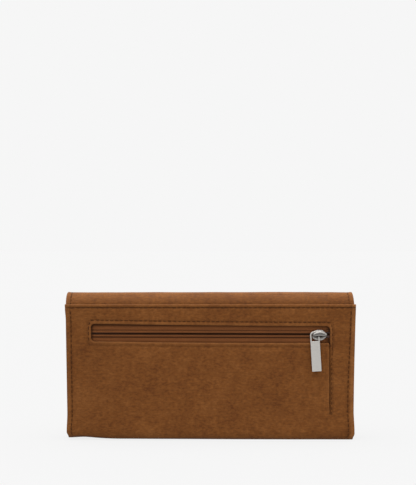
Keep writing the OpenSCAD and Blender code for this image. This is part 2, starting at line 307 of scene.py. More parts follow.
def woven_look(name, dark, light, pitch, twill=0.0):
    """Woven cloth or tape: warp and weft threads at this pitch, in a slightly uneven colour."""
    look = Look(name)
    flat = look.attribute("flat").outputs["Vector"]
    turn = look.add("VectorRotate", {"Vector": flat, "Angle": twill}, rotation_type="Z_AXIS").outputs[0]
    split = look.add("SeparateXYZ", {"Vector": turn})
    wave = math.tau / (pitch * MM)
    across = look.math("SINE", look.math("MULTIPLY", split.outputs[0], wave), 0)
    along = look.math("SINE", look.math("MULTIPLY", split.outputs[1], wave * 0.8), 0)
    weave = look.math("MULTIPLY", across, along)
    threads = look.fit(weave, -1, 1)
    uneven = look.noise(flat, 160, 4, 0.6, stretch=(0.3, 1, 1))
    colour = look.mix(threads, (*dark, 1), (*light, 1))
    shade = look.ramp(look.fit(uneven, 0.3, 0.7), (0, (0.82, 0.82, 0.82)), (1, (1.12, 1.12, 1.12)))
    colour = look.mix(0.8, colour, shade, "MULTIPLY")
    # Painted shade: the attribute read here darkens the tape in the crevice beside its coil band, in the gap
    # between the tapes and under the window's edges.
    painted_shade = look.attribute("painted_shade").outputs["Fac"]
    colour = look.mix(look.math("MULTIPLY", painted_shade, 0.85), colour, tuple(c * 0.25 for c in dark) + (1,))
    normal = look.bump(weave, 0.5, 0.00005)
    rough = look.fit(uneven, 0.3, 0.7, 0.72, 0.9)
    return look.finish(
        Base_Color=colour, Roughness=rough, Normal=normal, Specular_IOR_Level=0.08, Sheen_Weight=0.04)


def metal_look(name, colour, roughness, brushed):
    """Nickel with fine lines along the brushed direction and a few dull patches."""
    look = Look(name)
    place = look.add("TexCoord").outputs["Object"]
    lines = look.noise(place, 1.0, 3, 0.6, stretch=brushed)
    dull = look.noise(place, 420, 4, 0.6)
    tone = look.ramp(look.fit(lines, 0.3, 0.7), (0, tuple(c * 0.86 for c in colour)), (1, colour))
    tone = look.mix(look.fit(dull, 0.5, 0.75, 0, 0.25), tone, (*(c * 0.72 for c in colour), 1))
    # Painted shade: the attribute read here darkens the metal nearly to black in the slider's recesses and on
    # the lower faces of its crown.
    tone = look.mix(look.attribute("painted_shade").outputs["Fac"], tone, (0.02, 0.015, 0.012, 1))
    rough = look.fit(look.math("ADD", lines, dull), 0.6, 1.4, roughness - 0.08, roughness + 0.12)
    return look.finish(
        Base_Color=tone, Roughness=rough, Normal=look.bump(lines, 0.12, 0.00003), Metallic=1.0)


def thread_look():
    look = Look("stitching_thread")
    place = look.add("TexCoord").outputs["Object"]
    twist = look.noise(place, 2600, 2, 0.5)
    colour = look.ramp(look.fit(twist, 0.35, 0.65), (0, srgb(60, 34, 16)), (1, srgb(88, 53, 27)))
    rough = look.fit(twist, 0, 1, 0.6, 0.8)
    normal = look.bump(twist, 0.4, 0.00005)
    return look.finish(Base_Color=colour, Roughness=rough, Normal=normal, Specular_IOR_Level=0.05)


def film_look():
    look = Look("clear_film")
    place = look.add("TexCoord").outputs["Object"]
    scuffs = look.noise(place, 300, 5, 0.7, stretch=(1, 1, 0.2))
    rough = look.fit(scuffs, 0.45, 0.7, 0.04, 0.3)
    return look.finish(
        Base_Color=(0.93, 0.95, 0.96, 1), Roughness=rough, Transmission_Weight=1.0, IOR=1.45)


def plain_look(name, colour, roughness, grain):
    look = Look(name)
    place = look.add("TexCoord").outputs["Object"]
    fibre = look.noise(place, grain, 4, 0.6)
    tone = look.ramp(look.fit(fibre, 0.3, 0.7), (0, tuple(c * 0.85 for c in colour)), (1, colour))
    return look.finish(Base_Color=tone, Roughness=roughness, Normal=look.bump(fibre, 0.2, 0.0001))


OUTER = leather_look(
    "outer_leather", srgb(96, 54, 21), srgb(110, 65, 27), srgb(122, 75, 35), srgb(152, 102, 58))
INNER = leather_look(
    "inner_leather", srgb(88, 54, 30), srgb(104, 65, 38), srgb(118, 76, 46), srgb(150, 102, 64), 0.55, 0.6)
CLOTH = woven_look("lining_cloth", srgb(74, 46, 28), srgb(104, 68, 43), 0.42, 0.35)
TAPE = woven_look("zip_tape", srgb(101, 59, 30), srgb(128, 78, 43), 0.4)
NICKEL = metal_look("brushed_nickel", (0.46, 0.44, 0.415), 0.42, (900, 900, 9000))
PULL_METAL = metal_look("satin_pull_metal", (0.67, 0.645, 0.605), 0.42, (500, 500, 9000))
THREAD = thread_look()
COIL = plain_look("zip_coil", srgb(86, 44, 24), 0.4, 2500)
BOARD = plain_look("grey_board", srgb(176, 162, 140), 0.9, 1500)
FILM = film_look()

# ---- Making pieces ----


def new_object(name, data):
    made = bpy.data.objects.new(name, data)
    bpy.context.scene.collection.objects.link(made)
    return made


def make_mesh(name, points, faces, material, marks=None):
    """A smooth object from points in millimetres. marks are per-point values for the material to read."""
    used = np.unique(np.concatenate([np.ravel(f) for f in faces]))
    renumber = np.zeros(len(points), int)
    renumber[used] = np.arange(len(used))
    mesh = bpy.data.meshes.new(name)
    mesh.from_pydata((points[used] * MM).tolist(), [], [renumber[list(f)].tolist() for f in faces])
    for key, values in (marks or {}).items():
        vector = values.ndim == 2
        attribute = mesh.attributes.new(key, "FLOAT_VECTOR" if vector else "FLOAT", "POINT")
        data = values[used].astype(np.float32).ravel()
        attribute.data.foreach_set("vector" if vector else "value", data)
    work = bmesh.new()
    work.from_mesh(mesh)
    bmesh.ops.recalc_face_normals(work, faces=work.faces)
    work.to_mesh(mesh)
    work.free()
    mesh.polygons.foreach_set("use_smooth", np.ones(len(mesh.polygons), bool))
    mesh.materials.append(material)
    return new_object(name, mesh)


def grid_faces(keep, index, back):
    """Both faces of the kept cells, and the narrow rim that joins them along every edge."""
    cell = np.stack([index[:-1, :-1], index[1:, :-1], index[1:, 1:], index[:-1, 1:]], -1)[keep]
    padded = np.pad(keep, 1)
    rim_u = padded[:-1, 1:-1] != padded[1:, 1:-1]
    rim_v = padded[1:-1, :-1] != padded[1:-1, 1:]
    ends_u = np.stack([index[:, :-1], index[:, 1:]], -1)[rim_u]
    ends_v = np.stack([index[:-1, :], index[1:, :]], -1)[rim_v]
    ends = np.concatenate([ends_u, ends_v])
    rim = np.stack([ends[:, 0], ends[:, 1], ends[:, 1] + back, ends[:, 0] + back], -1)
    return np.concatenate([cell, cell[:, ::-1] + back, rim])


def shell(name, lines, place, thickness, material, edge, hole=None, wear_and_highlight=None, painted_shade=None):
    """A sheet with rounded edges. place(u, v, out) is the point that far outside the sheet's face."""
    u, v = np.meshgrid(*lines, indexing="ij")
    depth = 0.46 * thickness
    distance = np.clip(edge(u, v), 0, None)
    sunk = depth - np.sqrt(depth**2 - np.clip(depth - distance, 0, depth) ** 2)
    front, rear = place(u, v, -sunk), place(u, v, sunk - thickness)
    keep = np.ones((len(lines[0]) - 1, len(lines[1]) - 1), bool)
    if hole:
        middle_u, middle_v = (0.25 * (a[:-1, :-1] + a[1:, :-1] + a[1:, 1:] + a[:-1, 1:]) for a in (u, v))
        keep = ~hole(middle_u, middle_v)
    index = np.arange(u.size).reshape(u.shape)
    flat = np.stack([u, v, 0 * u], -1).reshape(-1, 3) * MM
    # Per-point marks for the material: paler edges from rubbing together with painted highlights, and painted
    # shade.
    worn_and_lit = (wear_and_highlight(u, v) if wear_and_highlight else 0.5 * np.exp(-distance / 0.8)).ravel()
    painted_shade_values = (painted_shade(u, v) if painted_shade else 0 * u).ravel()
    marks = {
        "flat": np.concatenate([flat, flat + (0.5, 0.3, 0)]),
        "wear_and_highlight": np.concatenate([worn_and_lit, worn_and_lit]),
        "painted_shade": np.concatenate([painted_shade_values, painted_shade_values]),
    }
    points = np.concatenate([front.reshape(-1, 3), rear.reshape(-1, 3)])
    return make_mesh(name, points, grid_faces(keep, index, u.size), material, marks)


def stitch_rows(name, place, rows, face=1, pitch=PITCH, size=1.0, sunk=0.0):
    """One mesh of thread stitches laid along rows of (u, v) corner points. face is -1 for a sheet's back,
    and sunk is how deep thick thread is pulled into the leather."""
    steps = np.array([0, 0.12, 0.32, 0.68, 0.88, 1])
    radii = size * np.array([0.1, 0.24, 0.29, 0.29, 0.24, 0.1])
    dips = size * np.array([0.3, 0.1, 0.0, 0.0, 0.1, 0.3])
    turns = np.arange(8) * math.tau / 8
    points, faces = [], []
    for row in rows:
        row = np.array(row, float)
        lengths = np.concatenate([[0], np.cumsum(np.linalg.norm(np.diff(row, axis=0), axis=1))])
        count = max(1, round(lengths[-1] / pitch))
        starts = (np.arange(count) + 0.13) * lengths[-1] / count
        where = starts[:, None] + steps * 0.76 * lengths[-1] / count
        u, v = (np.interp(where, lengths, row[:, k]) for k in (0, 1))
        low, high = place(u, v, 0 * u), place(u, v, 0 * u + face)
        out = high - low
        centre = low + out * (0.02 + 0.5 * radii.max() - sunk - dips)[None, :, None]
        along = centre[:, -1] - centre[:, 0]
        side = np.cross(along[:, None, :], out)
        side /= np.linalg.norm(side, axis=-1, keepdims=True)
        ring = side[..., None, :] * np.cos(turns)[:, None] + out[..., None, :] * np.sin(turns)[:, None]
        made = (centre[..., None, :] + ring * radii[:, None, None]).reshape(-1, 3)
        first = sum(len(p) for p in points)
        points.append(made)
        for k in range(count):
            base = first + k * 48
            for i in range(5):
                for j in range(8):
                    a, b = base + i * 8 + j, base + i * 8 + (j + 1) % 8
                    faces.append([a, b, b + 8, a + 8])
            faces.append([base + j for j in range(7, -1, -1)])
            faces.append([base + 40 + j for j in range(8)])
    return make_mesh(name, np.concatenate(points), faces, THREAD)


def settle(piece, body=None, across=None, stands_for=()):
    """Hangs a piece on its body, or, given two bodies in across, only bakes its transform in place; hides the
    CAD nodes it stands for.
    """
    if across:
        first, second, start, end = across
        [c * MM for c in start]
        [c * MM for c in end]
        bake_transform(piece)
    else:
        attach(piece, body)
    if stands_for:
        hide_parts(*stands_for)
    return piece


# ---- The outer leather: back wall, base fold and front wall in one piece ----

BACK_RUN = WALL_TOP - BASE_R
ARC_RUN = BASE_R * math.pi / 2
FLAT_RUN = FRONT_Y - WALL_LOW[1] - 2 * BASE_R
FRONT_RUN = FRONT_HIGH[2] - BASE_R
WALL_ROUTE = Route(
    (WALL_LOW[1], WALL_TOP), -90,
    [(BACK_RUN, 0), (ARC_RUN, 90), (FLAT_RUN, 0), (ARC_RUN, 90), (FRONT_RUN, 0)], -1,
)
BASE_MIDDLE = BACK_RUN + ARC_RUN + FLAT_RUN / 2
FRONT_START = WALL_ROUTE.length - FRONT_RUN
MOUTH_BEND = ("wallet", "front", (2.0, 0.0), (8.2, 0.0))


def window_distance(x, s):
    """How far outside the window a point is."""
    return np.maximum(abs(x - WINDOW_X) - WINDOW_W / 2, abs(WALL_TOP - s - ZIP_Z) - WINDOW_H / 2)


def slit_distance(x, s):
    across = np.maximum(SLIT_X0 - x, x - SLIT_X1)
    return np.maximum(across, s - (WALL_TOP - WINDOW_LOW + SLIT_L))


def in_window(x, s):
    slit = (slit_distance(x, s) < 0) & (s > WALL_TOP - ZIP_Z)
    return (window_distance(x, s) < 0) | slit


def round_window(x, s):
    """Rounds the window's corners, except the one that runs into the slit."""
    du = abs(x - WINDOW_X) - (WINDOW_W / 2 - WINDOW_R)
    dv = abs(WALL_TOP - s - ZIP_Z) - (WINDOW_H / 2 - WINDOW_R)
    move_x, move_s = corner_moves(du, dv, WINDOW_R)
    plain = ~((x > WINDOW_X) & (s > WALL_TOP - ZIP_Z))
    x_new = x - np.sign(x - WINDOW_X) * move_x * plain
    return x_new, s - np.sign(s - WALL_TOP + ZIP_Z) * move_s * plain


def wall_half(x, z):
    """Half the wall's width: it narrows to the base, and its top corners flare."""
    top = smooth((z - 82) / 12)
    left = 99.3 + 1.4 * np.clip(z / 80, 0, 1.1) + 0.5 * top + 0.7 * smooth((20 - z) / 16)
    right = 100.1 + 1.25 * np.clip((z - 20) / 62, 0, 1.1) ** 1.3 + 0.15 * top + 0.6 * smooth((20 - z) / 14)
    base = 1.1 * smooth((4.4 - z) / 3.6)
    return np.where(x < 0, left, right) - base


def wall_seam_in(x, s):
    """How far the side stitching lies from the wall's edge: it drifts inward down the right side."""
    z = np.where(s < BASE_MIDDLE, WALL_TOP - s, s - BASE_MIDDLE)
    return SEAM_IN + np.where(x > 0, -0.3 + 1.0 * smooth((84 - z) / 50), 0.1 - 0.3 * smooth((20 - z) / 15))


def frame_shift(x, z):
    """How far the window's edges stand above their plain place: both rise to the left, the upper one more."""
    t = np.clip(x / 84, -1.1, 1.1)
    upper, lower = 0.2 - 0.93 * t + 0.32 * t**2, 0.35 - 0.58 * t + 0.46 * t**2
    shift = lower + (upper - lower) * smooth((z - ZIP_Z + 6) / 12)
    return shift * (1 - smooth((abs(z - ZIP_Z) - 7) / 9))


def base_lift(x):
    """The base fold stands a little off the surface at its left corner."""
    return 0.55 * smooth((65 - x) / 150) + 0.8 * smooth((-x - 62) / 28) + 0.5 * ridge(x + 88, 8)


def wall_relief(x, s):
    """How far the outer leather stands out from its plain profile."""
    z = WALL_TOP - s
    back = smooth((BACK_RUN - s) / 6)
    front = smooth((s - FRONT_START - 2) / 6)
    side = WALL_HALF - abs(x)
    window = np.clip(window_distance(x, s), 0, None)
    lip = smooth((WINDOW_W / 2 + 1 - abs(x - WINDOW_X)) / 3) * smooth((WINDOW_LOW + 0.5 - z) / 1.0)
    slit_span = smooth((z - (WINDOW_LOW - SLIT_L) + 1) / 2) * smooth((WINDOW_LOW + 2 - z) / 3)
    hem = 0.34 * ridge(s - 1.0, 0.95) - 0.34 * ridge(s - 2.4, 0.4)
    hem = hem + 0.2 * smooth((6.5 - s) / 2.5) * smooth(s - 2.6)
    frame_ridge = 0.34 * ridge(window - 1.0, 0.9) - 0.22 * ridge(window - 2.75, 0.4)
    frame_ridge = frame_ridge * (1 - lip) * smooth((10 - window) / 3)
    lip_ridge = 0.45 * ridge(window - 0.9, 1.0) - 0.3 * ridge(window - 3.1, 0.7)
    lip_ridge = lip * (lip_ridge + 0.12 * ridge(window - 5.2, 1.6))
    slit_ridge = slit_span * (0.42 * ridge(x - SLIT_X0 + 0.6, 0.8) - 0.18 * ridge(x - SLIT_X0 + 2.8, 0.8))
    slit_ridge = slit_ridge - slit_span * 0.25 * ridge(x - SLIT_X1, 0.9)
    slit_seam = -0.22 * ridge(x - SLIT_X1 - 1.9, 0.4) * smooth((z - WINDOW_LOW + SLIT_L) / 2)
    slit_seam = slit_seam * smooth((ZIP_Z + 9 - z) / 3)
    pocket = smooth((82 - abs(x)) / 26) * smooth((z - 8) / 24) * smooth((WINDOW_LOW + 6 - z) / 14)
    above = smooth((92 - abs(x)) / 12) * ridge(z - 86, 4)
    sewn_sides = -0.25 * ridge(side - wall_seam_in(x, s), 0.45) + 0.12 * ridge(side - 1.7, 0.6)
    sewn_sides = sewn_sides - 0.1 * ridge(side - 0.9, 0.3)
    out = back * (hem + frame_ridge + lip_ridge + slit_ridge + slit_seam + 0.4 * pocket + 0.25 * above)
    out = out + sewn_sides * smooth((abs(s - BASE_MIDDLE) - 13) / 3)
    cup = 1.1 * smooth((99 - abs(x)) / 60) * smooth((WALL_ROUTE.length - s) / 30)
    far_hem = 0.3 * ridge(WALL_ROUTE.length - s - 1.0, 0.95) - 0.3 * ridge(WALL_ROUTE.length - s - 2.2, 0.4)
    out = out + front * (far_hem + 0.35 * cup)
    standing = smooth((abs(s - BASE_MIDDLE) - 6) / 8)
    return out + standing * (0.16 * waves(x, s, 3, 42) + 0.05 * waves(x, s, 4, 11))


def wall_place(x, s, out):
    z = WALL_TOP - s
    widened = wall_half(x, np.where(s < BASE_MIDDLE, z, s - BASE_MIDDLE + 2)) - WALL_HALF
    x_new, s_new = round_window(x, s)
    tilted = s_new - np.where(s < BACK_RUN, frame_shift(x, z), 0)
    place, normal = WALL_ROUTE.at(tilted)
    out = out + wall_relief(x, s)
    x_new = x_new + np.sign(x) * widened * smooth((abs(x) - 86) / 13)
    lifted = base_lift(x) * smooth((16 - place[..., 1]) / 16) + 0.6 * smooth((14 - s) / 10)
    span = smooth((z - (WINDOW_LOW - SLIT_L) + 6) / 2) * smooth((WINDOW_LOW - z) / 2)
    nearer = np.where(x < SLIT_X1 - 0.1, np.exp(-abs(x - SLIT_X0) / 1.2), 0)
    x_new = x_new + span * nearer * (0.52 + 0.18 * smooth((WINDOW_LOW - SLIT_L + 8 - z) / 8))
    corner = smooth((abs(x) - 90) / 11) * smooth((z - 84) / 10)
    y = place[..., 0] + normal[..., 0] * out - 0.5 * corner
    return np.stack([x_new, y, place[..., 1] + normal[..., 1] * out + lifted], -1)


def wall_edge(x, s):
    sides = np.minimum(WALL_HALF - abs(x), np.minimum(s, WALL_ROUTE.length - s))
    slit = np.where(s > WALL_TOP - ZIP_Z, abs(slit_distance(x, s)), 99)
    opening = np.minimum(abs(window_distance(x, s)), slit)
    opening = np.where(window_distance(x, s) < -0.01, 0, opening)
    return np.minimum(sides, opening)


# Paler places on the outer leather: painted highlights along the top hem, the window's edge and the ridge
# beside the slit, and paler side and front edges from rubbing.
def wall_wear_and_highlight(x, s):
    window = np.clip(window_distance(x, s), 0, None)
    z = WALL_TOP - s
    in_slit = (z < WINDOW_LOW) & (z > WINDOW_LOW - SLIT_L)
    slit = np.where(in_slit, ridge(x - SLIT_X0 + 0.5, 0.8), 0)
    worn_and_lit = 0.15 * ridge(s - 0.7, 1.2) + 0.25 * ridge(window - 0.7, 0.8) + 0.12 * slit
    sides = np.where(x > 0, 0.35, 0.12) * smooth((3.4 - WALL_HALF + abs(x)) / 1.5)
    sides = sides + 0.25 * ridge(WALL_ROUTE.length - s, 1.6)
    return np.clip(worn_and_lit + sides, 0, 1)


# Painted shade on the outer leather: in the stitch grooves, along the slit, on the window's inner rim, towards
# the bottom and the left, and a painted contact shadow along the very bottom.
def wall_painted_shade(x, s):
    window = window_distance(x, s)
    z = WALL_TOP - s
    lip = (z < WINDOW_LOW + 1) & (abs(x) < WINDOW_W / 2 + 1)
    hem = (0.6 + 0.25 * waves(x, s, 5, 30)) * ridge(s - 2.4, 0.55)
    sides = 0.35 * ridge(WALL_HALF - abs(x) - wall_seam_in(x, s), 0.5)
    framed = np.where(lip, 0.12, 0.25) * ridge(window - 2.75, 0.5)
    slit = (z < WINDOW_LOW) & (z > WINDOW_LOW - SLIT_L - 1)
    slit_dark = (0.35 + 0.4 * smooth((WINDOW_LOW - 10 - z) / 8)) * ridge(x - SLIT_X1 - 0.15, 0.5)
    framed = framed + np.where(slit, slit_dark + 0.3 * ridge(x - SLIT_X1 - 1.9, 0.5), 0)
    # Painted shade on the window's inner rim, stronger above the zip.
    inner = 0.6 * np.where(window < 0.25, 1, 0) * np.where(z > ZIP_Z, 1, 0.3)
    # Painted shade towards the left and the bottom, and a painted contact shadow along the very bottom edge.
    base = 0.11 * smooth((-x - 40) / 50) + 0.4 * smooth((8 - z) / 8) + 0.6 * smooth((1.5 - z) / 1.5)
    base = base * (s < FRONT_START + 6)
    return np.clip(hem + sides + framed + inner + base, 0, 1)


def outer_leather():
    across = grid_lines(-WALL_HALF, WALL_HALF, (WINDOW_X - WINDOW_W / 2, SLIT_X0, SLIT_X1))
    window_rows = (WALL_TOP - ZIP_Z - WINDOW_H / 2, WALL_TOP - WINDOW_LOW, WALL_TOP - WINDOW_LOW + SLIT_L)
    back = grid_lines(0, BACK_RUN, window_rows)
    fold = even_lines(BACK_RUN, FRONT_START, 0.8)
    front = grid_lines(FRONT_START, WALL_ROUTE.length)
    down = np.unique(np.concatenate([back, fold, front]).round(4))
    lines = (across, down)
    piece = shell(
        "outer_leather", lines, wall_place, LEATHER, OUTER, wall_edge, in_window, wall_wear_and_highlight, wall_painted_shade)
    settle(piece, across=MOUTH_BEND, stands_for=WALL_NODES)
    slit_foot = WALL_TOP - WINDOW_LOW + SLIT_L

    def beside(side, start, end):
        """The side stitching from one distance along the wall to another."""
        down = np.linspace(start, end, 30)
        return np.stack([side * (WALL_HALF - wall_seam_in(side + 0 * down, down)), down], -1)

    window_top = WALL_TOP - ZIP_Z - WINDOW_H / 2 - 2.75
    left, right = WINDOW_X - WINDOW_W / 2 - 1.75, SLIT_X1 + 1.9
    hem = WALL_HALF - SEAM_IN
    rows = [
        [(-hem, 2.4), (hem, 2.4)],
        beside(-1, 4.5, BACK_RUN + 1),
        beside(1, 4.5, BACK_RUN + 1),
        [(left + 1, window_top), (right - 1, window_top)],
        beside(-1, FRONT_START + 3, WALL_ROUTE.length - 3),
        beside(1, FRONT_START + 3, WALL_ROUTE.length - 3),
        [(-hem, WALL_ROUTE.length - 2.2), (hem, WALL_ROUTE.length - 2.2)],
    ]
    end_row = [(left, WALL_TOP - WINDOW_LOW + 0.3), (left, window_top)]
    slit_row = [(right, window_top), (right, window_top + 14),
                (right - 0.7, window_top + 26), (right - 0.8, slit_foot + 1)]
    for stitches in (
        stitch_rows("outer_leather_stitches", wall_place, rows),
        stitch_rows("window_end_stitches", wall_place, [end_row], size=1.35, sunk=0.15),
        stitch_rows("slit_stitches", wall_place, [slit_row], size=0.7),
    ):
        settle(stitches, across=MOUTH_BEND)


# ---- The flap: leather and lining, in three lengths that meet at creases of the roll ----

STUB_LOW = corners("flap_seam_stub")[0][2]
FLAP_RISE = ROLL_CENTRE[1] - STUB_LOW
FLAP_ARC = math.pi * ROLL_R
FLAP_ROUTE = Route(
    (ROLL_CENTRE[0] - ROLL_R, STUB_LOW), 90,
    [(FLAP_RISE, 0), (FLAP_ARC, -180), (ROLL_CENTRE[1] - FLAP_LOW[2], 0)], 1,
)
FLAP_HALF = 100.2
FLAP_CORNER = 4.0
SNAP_S = FLAP_ROUTE.length - ((corners("snap_stud")[0][2] + corners("snap_stud")[1][2]) / 2 - FLAP_LOW[2])
BEND_ANGLES = (163, 122, 68, 14)


def roll_distance(angle):
    return FLAP_RISE + FLAP_ARC * (180 - angle) / 180


def roll_point(angle):
    turned = math.radians(angle)
    return ROLL_CENTRE[0] + ROLL_R * math.cos(turned), ROLL_CENTRE[1] + ROLL_R * math.sin(turned)


def flap_widening(x, s):
    """The flap is a little wider over the roll than in front, more so on its left."""
    left = 0.75 * smooth((roll_distance(40) - s) / 20)
    right = 0.65 * np.clip((roll_distance(100) - s) / (roll_distance(100) - roll_distance(165)), 0, 1)
    return np.where(x < 0, left, right)


def flap_relief(x, s):
    side, foot = FLAP_HALF - abs(x), FLAP_ROUTE.length - s
    border = np.minimum(side, np.where(s > roll_distance(0), foot, 99))
    bead = 0.16 * ridge(border - 0.9, 0.8) - 0.26 * ridge(border - SEAM_IN, 0.4)
    board = 0.22 * smooth((border - 3) / 1.2) * smooth((s - roll_distance(0) - 3) / 2)
    hug = -1.3 * smooth(abs(x) / 98) * smooth((s - roll_distance(0) - 10) / 60)
    snap = 0.35 * ridge(np.hypot(x, s - SNAP_S), 9)
    crown = 0.55 * ridge(s - roll_distance(92), 13)
    return bead + board + hug + snap + crown + 0.2 * waves(x, s, 8, 46) + 0.05 * waves(x, s, 9, 12)


def flap_place(x, s, out):
    du, dv = abs(x) - (FLAP_HALF - FLAP_CORNER), s - (FLAP_ROUTE.length - FLAP_CORNER)
    move_x, move_s = corner_moves(du, dv)
    place, normal = FLAP_ROUTE.at(s - move_s)
    out = out + flap_relief(x, s)
    x_new = x - np.sign(x) * move_x
    x_new = x_new + np.sign(x) * flap_widening(x, s) * smooth((abs(x) - 60) / 38)
    return np.stack([x_new, place[..., 0] + normal[..., 0] * out, place[..., 1] + normal[..., 1] * out], -1)


def flap_edge(x, s):
    return np.minimum(FLAP_HALF - abs(x), np.minimum(s, FLAP_ROUTE.length - s))


# Paler places on the flap: a painted highlight along the top of the roll and its front shoulder, and paler
# rims from rubbing.
def flap_wear_and_highlight(x, s):
    top = 0.3 * ridge(s - roll_distance(92), 6) + 0.1 * ridge(s - roll_distance(20), 5)
    rim = 0.2 * ridge(FLAP_HALF - abs(x), 1.4) + 0.25 * ridge(FLAP_ROUTE.length - s, 1.4)
    return np.clip(top + rim, 0, 1)


# Painted shade on the flap: in the stitch grooves, where the flap tucks down behind the back wall's top, and
# over the back of the roll.
def flap_painted_shade(x, s):
    border = np.minimum(FLAP_HALF - abs(x), FLAP_ROUTE.length - s)
    tucked = 0.8 * smooth((roll_distance(160) - s) / 3) + 0.16 * smooth((roll_distance(110) - s) / 10)
    return np.clip(0.3 * ridge(border - SEAM_IN, 0.45) + tucked, 0, 1)


def board_room(s):
    """The lining leaves room for the board along the flap's straight run."""
    return 0.35 * smooth((s - roll_distance(0) - 0.5) / 2)


def lining_place(x, s, out):
    return flap_place(x, s, out - LEATHER - 0.05 - board_room(s))


def lining_rear(x, s, out):
    return lining_place(x, s, out - LINING)


def lining_edge(x, s):
    return flap_edge(x, s) - 0.9


def board():
    """The board that keeps the flap flat, between its leather and its lining."""
    start, end = roll_distance(0) + 3, FLAP_ROUTE.length - 3
    half = FLAP_HALF - 3

    def place(x, s, out):
        return flap_place(x, s, out - LEATHER - 0.03)

    def edge(x, s):
        return np.minimum(half - abs(x), np.minimum(s - start, end - s))

    lines = (grid_lines(-half, half), grid_lines(start, end))
    piece = shell("flap_board_sheet", lines, place, 0.32, BOARD, edge)
    settle(piece, "flap", stands_for=("flap_board",))


def flap():
    cuts = [0, roll_distance(BEND_ANGLES[1]), roll_distance(BEND_ANGLES[2]), FLAP_ROUTE.length]
    bodies = ("wallet", "roll_back", "roll_front", "flap")
    nodes = (("flap_seam_stub", "roll_back_leather"), ("roll_front_leather",), ("flap_leather",))
    lining_nodes = (("roll_back_lining",), ("roll_front_lining",), ("flap_lining",))
    across = grid_lines(-FLAP_HALF, FLAP_HALF)
    inside = grid_lines(-FLAP_HALF + 0.9, FLAP_HALF - 0.9)
    side, foot = FLAP_HALF - SEAM_IN, FLAP_ROUTE.length - SEAM_IN
    for k in range(3):
        bend = (bodies[k], bodies[k + 1], roll_point(BEND_ANGLES[k]), roll_point(BEND_ANGLES[k + 1]))
        arc_end = min(cuts[k + 1], roll_distance(0))
        down = even_lines(cuts[k], arc_end, 0.7)
        lining_down = down if k else even_lines(FLAP_RISE, arc_end, 0.7)
        if k == 2:
            lining_down = np.unique(np.concatenate([down, grid_lines(arc_end, cuts[3] - 0.9)]).round(4))
            down = np.unique(np.concatenate([down, grid_lines(arc_end, cuts[3])]).round(4))
        lines = (across, down)
        piece = shell(
            f"flap_leather_{k + 1}", lines, flap_place, LEATHER, OUTER, flap_edge, None, flap_wear_and_highlight, flap_painted_shade)
        settle(piece, across=bend, stands_for=nodes[k])
        lines = (inside, lining_down)
        piece = shell(f"flap_lining_{k + 1}", lines, lining_place, LINING, INNER, lining_edge, painted_shade=flap_painted_shade)
        settle(piece, across=bend, stands_for=lining_nodes[k])
        start, end = max(cuts[k], roll_distance(166)), min(cuts[k + 1], foot - 3)
        rows = [[(x, start), (x, end)] for x in (-side, side)]
        if k == 2:
            rows.append([(-side + 1.5, foot), (side - 1.5, foot)])
        size = 1.0 if k == 2 else 0.75
        front = stitch_rows(f"flap_stitches_{k + 1}", flap_place, rows, size=size)
        settle(front, across=bend)
        back = stitch_rows(f"flap_lining_stitches_{k + 1}", lining_rear, rows, face=-1)
        settle(back, across=bend)


# ---- The zip ----


def tape(side):
    """One tape of the reversed coil zip: its edge is folded over the coil and stands up as a narrow band."""
    node = "zip_tape_upper" if side > 0 else "zip_tape_lower"
    low, high = corners(node)
    band = 1.6
    width = high[2] - low[2]

    def place(x, w, out):
        folded = 0.42 * smooth((band + 0.25 - w) / 0.5) - 0.25 * ridge(w, 0.25)
        teeth = 0.05 * np.cos(x * math.tau / 1.3) * smooth((band - w) / 0.5)
        rib = 0.08 * ridge(w - 4.2, 0.3)
        lift = out + folded + teeth + rib
        opened = smooth((x - 78.8) / 3) * smooth((5 - w) / 5)
        z = ZIP_Z + SLOT_RISE - SLOT_FALL * x - 0.5 * opened + side * (SLOT_HALF + 1.5 * opened + w)
        return np.stack([x, TAPE_Y - lift, z], -1)

    def edge(x, w):
        return np.minimum(np.minimum(w, width - w), np.minimum(x - low[0], high[0] - x))

    # Painted shade on the tape: in the crevice beside the coil band, in the gap between the tapes, under the
    # window's lips and at the window's ends.
    def painted_shade(x, w):
        crevice = ridge(w - band - 0.4, 0.5) * (1.3 if side < 0 else 0.75)
        lip = (1.1 if side > 0 else 0.35) * ridge(WINDOW_H / 2 - w - 0.3, 1.0)
        ends = 1.2 * ridge(abs(x - WINDOW_X) - WINDOW_W / 2, np.where(x > 0, 1.9, 1.1))
        return np.clip(crevice + 1.2 * ridge(w, 0.45) + lip + ends, 0, 1)

    around = np.unique(np.concatenate([even_lines(0, 4.8, 0.14), even_lines(4.8, width, 0.8)]).round(3))
    lines = (even_lines(low[0], high[0], 0.65), around)
    piece = shell(node + "_cloth", lines, place, 0.5, TAPE, edge, None, lambda x, w: 0 * x, painted_shade)
    settle(piece, "wallet", stands_for=(node,))


def outline_of(points, radius_steps=6):
    """A closed outline through corner points (x, z, radius), with each corner rounded by an arc."""
    outline = []
    count = len(points)
    for k, (x, z, radius) in enumerate(points):
        corner = np.array([x, z], float)
        before = np.array(points[k - 1][:2]) - corner
        after = np.array(points[(k + 1) % count][:2]) - corner
        before, after = before / np.linalg.norm(before), after / np.linalg.norm(after)
        half = math.acos(np.clip(before @ after, -1, 1)) / 2
        reach = radius / math.tan(half)
        start, end = corner + before * reach, corner + after * reach
        centre = corner + (before + after) / np.linalg.norm(before + after) * radius / math.sin(half)
        a0 = math.atan2(*(start - centre)[::-1])
        turn = math.atan2(*(end - centre)[::-1]) - a0
        turn = (turn + math.pi) % math.tau - math.pi
        for step in range(radius_steps + 1):
            a = a0 + turn * step / radius_steps
            outline.append(centre + radius * np.array([math.cos(a), math.sin(a)]))
    return np.array(outline)


